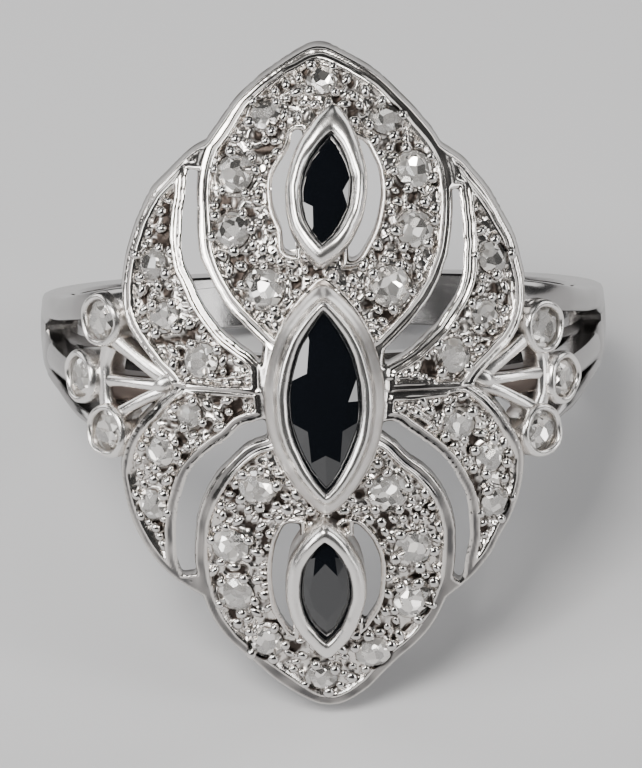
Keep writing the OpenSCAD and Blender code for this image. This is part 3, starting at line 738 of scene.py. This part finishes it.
def setting(bag, key, profile, seed):
    """Bezel from a profile of rows: outward from the stone's edge, height, tip rounding, painted
    shade.
    """
    cx, cu, turn, hl, hw, tip = SETTINGS[key]
    o, e, g, nrm = dome_frame(cx, cu)
    t = math.radians(turn)
    ax, ay = e * math.cos(t) + g * math.sin(t), -e * math.sin(t) + g * math.cos(t)
    rings, rec = [], []
    r = np.random.default_rng(seed)
    ph = r.uniform(0, 6.28, 6)
    inside = INSIDE_TIP[key]
    for out, h, rt, shade_paint in profile:
        halves = [almond(hl + out * (k if out > 0 else inside), hw + out, ALMOND_N, rt)
                  for k in tip]
        p = np.where(halves[0][:, 1:] < 0, halves[0], halves[1])
        # small waves of handwork in the outline and in the height
        s = np.linspace(0, 2 * np.pi, len(p), endpoint=False)
        wob = 0.010 * (np.sin(3 * s + ph[0]) + np.sin(5 * s + ph[1]) + 0.7 * np.sin(9 * s + ph[2])
                       + 0.5 * np.sin(16 * s + ph[3]))
        lift = 0.012 * (np.sin(2 * s + ph[4]) + np.sin(7 * s + ph[5]))
        q = p * (1 + wob / np.linalg.norm(p, axis=1))[:, None]
        top = 1.0 if h > 0.3 else 0.0
        rings.append(o + q[:, :1] * ax + q[:, 1:] * ay + (h + top * lift)[:, None] * nrm)
        rec.append(np.full(len(p), shade_paint))
    v, f = loft(rings)
    bag.add(v, flip(f), np.concatenate(rec))


bag = Bag()
# Profiles of the marquise walls, from inside. Columns: as setting() says
BEZEL_C = [(-0.30, -1.15, 0, 0.8), (-0.20, -0.1, 0, 0.6), (0.0, 0.20, 0, 0.5),
           (0.0, 0.56, 0, 0.2), (-0.20, 0.60, 0, 0.1), (-0.235, 0.66, 0, 0.0),
           (-0.21, 0.73, 0, 0.0), (-0.15, 0.79, 0, 0.0), (-0.08, 0.835, 0, 0.0),
           (0.01, 0.86, 1, 0.0), (0.09, 0.85, 2, 0.0), (0.155, 0.79, 3, 0.0),
           (0.20, 0.69, 4, 0.0), (0.235, 0.55, 5, 0.0), (0.26, 0.40, 6, 0.1),
           (0.32, 0.28, 8, 0.2), (0.44, 0.15, 8, 0.3), (0.57, 0.05, 8, 0.3),
           (0.62, -0.10, 8, 0.4), (0.60, -0.55, 8, 0.5), (0.45, -1.1, 8, 0.6)]
BEZEL_E = [(-0.24, -1.15, 0, 0.8), (-0.16, -0.2, 0, 0.6), (0.0, 0.05, 0, 0.5),
           (0.0, 0.42, 0, 0.2), (-0.13, 0.46, 0, 0.1), (-0.155, 0.51, 0, 0.0),
           (-0.14, 0.56, 0, 0.0), (-0.08, 0.635, 0, 0.0), (0.0, 0.69, 0, 0.0),
           (0.09, 0.715, 1, 0.0), (0.18, 0.70, 2, 0.0), (0.26, 0.645, 3, 0.0),
           (0.33, 0.54, 4, 0.0), (0.375, 0.39, 5, 0.0), (0.395, 0.18, 6, 0.1),
           (0.39, -0.10, 6, 0.25), (0.36, -0.50, 6, 0.5), (0.32, -1.0, 6, 0.7)]
for key, profile, seed in (("centre", BEZEL_C, 3), ("top", BEZEL_E, 5), ("bottom", BEZEL_E, 8)):
    setting(bag, key, profile, seed)
bag.build("marquise_settings", gold_bezel_lit)


# Grains
def sphere(n_lat=6, n_lon=10):
    """Upper part of a ball of radius 1, its rows of points turned a little against each other."""
    lat = np.linspace(0, 0.72 * np.pi, n_lat)
    pts = [[0, 0, 1.0]]
    for a in lat[1:]:
        for k in range(n_lon):
            b = 2 * np.pi * k / n_lon + a * 0.7
            pts.append([np.sin(a) * np.cos(b), np.sin(a) * np.sin(b), np.cos(a)])
    k = np.arange(n_lon)
    tri = np.stack([np.zeros(n_lon, int), 1 + k, 1 + (k + 1) % n_lon], -1)
    quads = []
    for i in range(n_lat - 2):
        a, b = 1 + i * n_lon, 1 + (i + 1) * n_lon
        quads.append(np.stack([a + k, b + k, b + (k + 1) % n_lon, a + (k + 1) % n_lon], -1))
    return np.array(pts), [tri, np.concatenate(quads)]


ball_v, ball_f = sphere()


def grain(bag, x, u, h, r, tall, skew):
    """A grain of metal with its middle at height h. Skew gives its stretch and its turn."""
    o, e, g, n = dome_frame(x, u)
    v = ball_v * np.array([r * (1 + skew[0]), r * (1 - skew[0]), r * tall])
    c, s = math.cos(skew[1]), math.sin(skew[1])
    v = np.stack([v[:, 0] * c - v[:, 1] * s, v[:, 0] * s + v[:, 1] * c, v[:, 2]], -1)
    bag.add(o + v[:, :1] * e + v[:, 1:2] * g + (v[:, 2:] + h) * n, ball_f)


# Heights of the middles and range of the radius, of the grains that hold a stone and of the others
CLAW_H, GRAIN_H, CLAW_R, GRAIN_R = -0.07, -0.20, (0.18, 0.25), (0.16, 0.27)
TRIES = 9000
bag = Bag()
taken = []
# four or five grains hold each small stone
for i, (sx, su, dia) in enumerate(PAVE):
    n = 4 if dia < 1.3 else 5
    turn = rng.uniform(0, 2 * np.pi)
    for k in range(n):
        a = turn + 2 * np.pi * k / n + rng.uniform(-0.22, 0.22)
        rr = dia / 2 + rng.uniform(0.01, 0.07)
        gx, gu = sx + rr * math.cos(a), su + rr * math.sin(a)
        p = Plan(np.array([gx]), np.array([gu]))
        if p.edge[0] < 0.16 or p.centre[0] < 0.1:
            continue
        if any(math.hypot(gx - s[0], gu - s[1]) < s[2] / 2 - 0.08
               for j, s in enumerate(PAVE) if j != i):
            continue
        if any(math.hypot(gx - t[0], gu - t[1]) < 0.22 for t in taken):
            continue
        r = rng.uniform(*CLAW_R)
        grain(bag, gx, gu, CLAW_H, r, rng.uniform(0.75, 1.0),
              (rng.uniform(-.12, .12), rng.uniform(0, 3)))
        taken.append((gx, gu, r))
# smaller grains wherever a random place in the fields is still free
tries = np.stack([rng.uniform(-GRAIN_X, GRAIN_X, TRIES),
                  rng.uniform(-GRAIN_U, GRAIN_U, TRIES)], -1)
pl = Plan(tries[:, 0], tries[:, 1])
sg = stone_gap(tries[:, 0], tries[:, 1])
for (gx, gu), fld, gp in zip(tries, pl.field, sg):
    r = rng.uniform(*GRAIN_R)
    if fld < 0.10 or gp < 0.6 * r:
        continue
    if any(math.hypot(gx - t[0], gu - t[1]) < (r + t[2]) * 0.84 for t in taken):
        continue
    grain(bag, gx, gu, GRAIN_H, r, rng.uniform(0.65, 1.0),
          (rng.uniform(-.3, .3), rng.uniform(0, 3)))
    taken.append((gx, gu, r))
bag.build("grains", gold)


# Hoop and shoulders
def side_point(s):
    """Outer curve of the shank on the right, by s in mm from the turn's top down to the back."""
    if s < TURN_LEN:
        a, r, x, z = TURN_TOP - s / TURN_R, TURN_R, TURN_X, TURN_Z
    elif s - TURN_LEN < SIDE_LEN:
        a, r, x, z = SIDE_A - (s - TURN_LEN) / SIDE_R, SIDE_R, HOOP_R - SIDE_R, 0.0
    else:
        a, r, x, z = -(s - TURN_LEN - SIDE_LEN) / HOOP_R, HOOP_R, 0.0, 0.0
    n = (math.cos(a), math.sin(a))
    return x + r * n[0], z + r * n[1], n


def table(rows):
    """Function of the height z from rows of z and value."""
    r = np.array(sorted(rows))
    return lambda z: float(np.interp(z, r[:, 0], r[:, 1]))


# Edges of the straps and of the gaps between them, as rows of z and y
edge_hi = table([(-10.2, 0.95), (0, 1.75), (4, 2.20), (6, 2.40), (9.3, 3.10), (11.4, 3.65)])
edge_lo = table([(-10.2, -0.95), (0, -0.75), (4, -0.80), (6, -0.95), (9.3, -1.60), (11.4, -2.70)])
gap_up_hi = table([(1.5, 0.75), (3.5, 1.30), (6, 1.60), (9.2, 2.10), (11.6, 2.60)])
gap_up_lo = table([(1.5, 0.75), (3.5, 0.45), (8.5, 0.40), (11.6, 0.35)])
gap_lo_hi = table([(3.5, -0.45), (6, -0.42), (9, -0.50), (11.6, -0.60)])
gap_lo_lo = table([(3.5, -0.45), (6, -0.60), (9.2, -1.15), (11.6, -2.20)])
# Straps: how deep a faded end sinks, step along them, rows over the crown, least width, corner size
SINK, STRAP_STEP, CROWN_ROWS, MIN_W, CORNER = 0.14, 0.35, 7, 0.05, 0.18


def band_section(y0, y1, t, crown):
    """Rounded section: rows of (y, off) round a strap of thickness t."""
    y0 = min(y0, y1 - MIN_W)
    w = (y1 - y0) / 2
    m = (y0 + y1) / 2
    e = min(CORNER, w * 0.6)
    pts = []
    for k in range(CROWN_ROWS + 1):
        q = -1 + 2 * k / CROWN_ROWS
        pts.append((m + (w - e) * q, crown * (1 - q * q)))
    # rows on both sides of each corner keep the shading of the walls flat
    up = [(w - e * 0.3, -e * 0.3), (w, -e), (w, -e - 0.03), (w, -t + e * 0.6 + 0.03),
          (w, -t + e * 0.6), (w - e * 0.5, -t)]
    pts += [(m + q, o) for q, o in up] + [(m - q, o) for q, o in up[::-1]]
    return pts


def strap(bag, side, s0, s1, lo, hi, thick, crown, fade, shade=0.0):
    """Strap along the side. Over the lengths in fade its ends sink below the next strap. Shade is
    painted shade, full for 2.5 mm from the turn's top and gone by 5.5 mm.
    """
    rings, rec = [], []
    for s in np.linspace(s0, s1, int(math.ceil((s1 - s0) / STRAP_STEP)) + 1):
        x0, z0, n = side_point(s)
        ends = [ease(np.array(d / f)) if f else 1.0 for d, f in zip((s - s0, s1 - s), fade)]
        lift = -SINK * (1 - float(min(ends)))
        sec = band_section(lo(z0), hi(z0), thick(z0), crown)
        rings.append([(side * (x0 + (o + lift) * n[0]), y,
                       max(z0 + (o + lift) * n[1], BACK_FLAT - HOOP_R)) for y, o in sec])
        # painted shade, full near the head
        rec += [shade * float(ease(np.array((5.5 - s) / 3.0)))] * len(sec)
    v, f = loft(rings, cap=True)
    bag.add(v, flip(f) if side < 0 else f, rec + [0.0, 0.0])


def strand_t(z):
    """Thickness of the strands."""
    return SHOULDER_T


def hoop_t(z):
    """Thickness of the hoop, which grows below the strands and stays just off the inner face."""
    return SHOULDER_T + (HOOP_T - 0.02 - SHOULDER_T) * float(ease(np.array((1.6 - z) / 2.0)))


bag = Bag()
END = TURN_LEN + SIDE_LEN
# the three strands, then the middle and lower one where they are joined, then the hoop
for side in (1, -1):
    strap(bag, side, 0.4, END - 0.7, gap_up_hi, edge_hi, strand_t, 0.06, fade=(0.0, 1.1))
    # the middle strand, sunk between the others, gets painted shade near the head
    strap(bag, side, 0.9, END - 2.8, gap_lo_hi, gap_up_lo, strand_t, 0.05, fade=(0.0, 1.0),
          shade=0.9)
    strap(bag, side, 0.9, END - 2.8, edge_lo, gap_lo_lo, strand_t, 0.04, fade=(0.0, 1.0))
    strap(bag, side, END - 4.0, END - 0.7, edge_lo, gap_up_lo, strand_t, 0.06, fade=(1.0, 1.1))
    strap(bag, side, END - 1.9, END + BACK_LEN, edge_lo, edge_hi, hoop_t, 0.08, fade=(1.1, 0.0))
bag.build("shank", gold_hoop_shaded, sharp=50)

bag = Bag()
half = BAND_W / 2
# Section of the inner band: rows of y and of the height over the finger's hole
section = [(-half, 0.12), (-half + 0.1, 0), (half - 0.1, 0), (half, 0.12), (half, BAND_T - 0.2),
           (half - 0.25, BAND_T), (-half + 0.25, BAND_T), (-half, BAND_T - 0.2)]
rings = [[((FINGER_R + o) * math.cos(a), y, (FINGER_R + o) * math.sin(a)) for y, o in section]
         for a in np.linspace(0, 2 * np.pi, 180, endpoint=False)]
rings.append(rings[0])
bag.add(*loft(rings))
bag.build("inner_band", gold_hoop_shaded, sharp=35)


def on_shoulder(side, x, y, lift):
    """Point over plan place x, y on the shoulder's turn, with its outward direction."""
    a = math.asin(min(0.999, (x - TURN_X) / TURN_R))
    r = TURN_R + lift
    n = np.array([side * math.sin(a), 0, math.cos(a)])
    return np.array([side * (TURN_X + r * math.sin(a)), y, TURN_Z + r * math.cos(a)]), n


STRUT_STEP, STRUT_DEPTH = 0.14, 0.75


def strut(bag, side, rows, lift=0.10):
    """Tapered strut over the shoulder. Rows: plan x, y, width."""
    path = smooth_line(rows, STRUT_STEP)
    pts = [on_shoulder(side, p[0], p[1], lift) for p in path]
    rings = []
    for i, (o, n) in enumerate(pts):
        a, b = pts[max(i - 1, 0)][0], pts[min(i + 1, len(pts) - 1)][0]
        d = (b - a) / np.linalg.norm(b - a)
        s = np.cross(d, n)
        s /= np.linalg.norm(s)
        w = path[i, 2] / 2
        ring = [o + s * w * math.cos(q) + n * (0.55 * w * math.sin(q))
                for q in np.linspace(0, np.pi, 7)]
        foot = n * STRUT_DEPTH
        rings.append(ring + [o - s * w * 0.95 - foot, o + s * w * 0.95 - foot])
    bag.add(*loft(rings, cap=True))


BEZEL_R = SHOULDER_BEZEL / 2
# Profile of a shoulder bezel, from inside. Columns: radius, height, painted shade
BEZEL_S = [(0.30, -1.0, 0.8), (0.36, -0.55, 0.7), (0.70, 0.05, 0.5), (0.76, 0.22, 0.2),
           (0.71, 0.27, 0), (0.70, 0.33, 0), (0.73, 0.40, 0), (0.79, 0.45, 0), (0.86, 0.44, 0),
           (BEZEL_R - 0.04, 0.36, 0), (BEZEL_R, 0.22, 0), (BEZEL_R, -0.1, 0.1),
           (BEZEL_R - 0.03, -0.6, 0.4), (BEZEL_R - 0.15, -1.0, 0.6)]


def round_bezel(bag, side, y, ang, seed):
    """Bezel of a shoulder stone, a little out of round."""
    r = np.random.default_rng(seed)
    a = math.radians(ang)
    n = np.array([side * math.sin(a), 0, math.cos(a)])
    o = np.array([side * (TURN_X + TURN_R * math.sin(a)), y, TURN_Z + TURN_R * math.cos(a)])
    e, g = np.array([side * math.cos(a), 0, -math.sin(a)]), np.array([0, 1.0, 0])
    t = np.linspace(0, 2 * np.pi, 40, endpoint=False)
    ph = r.uniform(0, 6.28, 4)
    rings, rec = [], []
    for rr, h, shade_paint in BEZEL_S:
        k = 1.0 if rr > 0.68 else 0.0
        q = rr + k * 0.018 * (np.sin(2 * t + ph[0]) + np.sin(3 * t + ph[1])
                              + 0.6 * np.sin(5 * t + ph[2]))
        hh = h + (0.015 * (np.sin(3 * t + ph[3]) + np.sin(4 * t + ph[0])) if h > 0.2 else 0.0 * t)
        across, along = (q * np.cos(t))[:, None], (q * np.sin(t))[:, None]
        rings.append(o + across * e + along * g + hh[:, None] * n)
        rec.append(np.full(len(t), shade_paint))
    v, f = loft(rings)
    bag.add(v, flip(f) if side > 0 else f, np.concatenate(rec))


# Three struts from the waist's end to the bezels and one along the bezels. Columns: x, y, width
STRUTS = [[(5.25, 0.14, 0.62), (6.0, 0.62, 0.52), (6.7, 1.14, 0.48), (7.35, 1.64, 0.62)],
          [(5.4, 0.06, 0.50), (6.4, 0.12, 0.38), (7.2, 0.15, 0.38), (8.0, 0.12, 0.55)],
          [(5.3, -0.02, 0.54), (6.1, -0.30, 0.44), (6.9, -0.76, 0.42), (7.5, -1.22, 0.58)],
          [(7.50, 1.40, 0.70), (7.68, 0.75, 0.58), (7.72, 0.10, 0.60), (7.68, -0.6, 0.58),
           (7.50, -1.15, 0.68)]]
bag = Bag()
for i, (side, y, ang) in enumerate(SHOULDER):
    round_bezel(bag, side, y, ang, 40 + i)
for side in (1, -1):
    for rows in STRUTS:
        strut(bag, side, rows)
    strut(bag, side, [(5.2, 0.35, 0.5), (5.65, 0.15, 0.62), (5.9, 0.0, 0.3)], lift=0.22)
bag.build("shoulder_settings", gold_bezel_lit, sharp=60)

# The metal pieces together stand for the metal node, and the stones keep their own meshes
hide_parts("ring_metal")

for name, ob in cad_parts.items():
    if name == "ring_metal":
        continue
    ob.data.materials.clear()
    ob.data.materials.append(sapphire if name.startswith("sapphire") else diamond)

# Floor, lights, camera
me = bpy.data.meshes.new("floor")
FLOOR = 2.0
corners = [(-FLOOR, -FLOOR, 0), (FLOOR, -FLOOR, 0), (FLOOR, FLOOR, 0), (-FLOOR, FLOOR, 0)]
me.from_pydata(corners, [], [(0, 1, 2, 3)])
floor = bpy.data.objects.new("floor", me)
bpy.context.scene.collection.objects.link(floor)
pale, _, _ = principled("pale_floor", {"Base Color": (0.72, 0.72, 0.73, 1), "Roughness": 0.55})
me.materials.append(pale)
# Place that the lights point at
middle = Vector((0, -0.004, 0.010))


def softbox(name, az, el, dist, size, radiance, color=(1, 1, 1)):
    """Area light seen from the ring at that bearing (0 in front, + to the right) and height."""
    d = bpy.data.lights.new(name, "AREA")
    d.shape = "RECTANGLE"
    d.size, d.size_y = size
    d.energy = radiance * math.pi * size[0] * size[1]
    d.color = color
    a, e = math.radians(az), math.radians(el)
    o = bpy.data.objects.new(name, d)
    way = Vector((math.sin(a) * math.cos(e), -math.cos(a) * math.cos(e), math.sin(e)))
    o.location = middle + dist * way
    o.rotation_euler = (middle - o.location).to_track_quat("-Z", "Y").to_euler()
    bpy.context.scene.collection.objects.link(o)


# Columns: name, bearing, height, distance, size, brightness, colour
softbox("key", -24, 57, 0.60, (0.20, 0.20), 24.0, (1.0, 0.98, 0.95))
softbox("left", -58, 27, 0.50, (0.24, 0.20), 9.0)
softbox("right", 66, 30, 0.60, (0.14, 0.26), 7.0)
softbox("low_right", 60, 8, 0.50, (0.16, 0.10), 5.0)
softbox("far_right", 122, 28, 0.60, (0.42, 0.32), 2.2)
softbox("far_left", -122, 28, 0.60, (0.42, 0.32), 2.2)
softbox("top", 180, 78, 0.60, (0.30, 0.20), 1.2)
world = bpy.data.worlds.new("world")
bpy.context.scene.world = world
world.use_nodes = True
world.node_tree.nodes["Background"].inputs["Color"].default_value = (0.75, 0.77, 0.80, 1)
world.node_tree.nodes["Background"].inputs["Strength"].default_value = 0.04

# Camera: angles to the head's axis, distance in mm, pixels per mm at the head, and the place of the
# head's middle from the picture's middle, in pixels of the photo
TILT, ROLL, DIST, PX = math.radians(9.0), math.radians(-1.03), 350.0, 28.5
OFF_X, OFF_Y, PHOTO_H, SENSOR = -3.6, 10.5, 768, 24.0
el = LEAN + TILT
back = Vector((0, -math.cos(el), math.sin(el)))
right, up = Vector((1, 0, 0)), Vector((0, math.sin(el), math.cos(el)))
cx = right * math.cos(ROLL) + up * math.sin(ROLL)
cy = up * math.cos(ROLL) - right * math.sin(ROLL)
aim = Vector(laid([0, 0, HEAD_TOP])) + (cx * (OFF_X / PX) + cy * (OFF_Y / PX)) * MM
cam = bpy.data.cameras.new("camera")
cam.sensor_fit = "VERTICAL"
cam.sensor_height = SENSOR
cam.lens = PX * DIST * SENSOR / PHOTO_H
cam.clip_start, cam.clip_end = 0.01, 10
cam_ob = bpy.data.objects.new("camera", cam)
m = Matrix.Identity(4)
for i, axis in enumerate((cx, cy, back)):
    for j in range(3):
        m[j][i] = axis[j]
m.translation = aim + back * DIST * MM
cam_ob.matrix_world = m
bpy.context.scene.collection.objects.link(cam_ob)
bpy.context.scene.camera = cam_ob
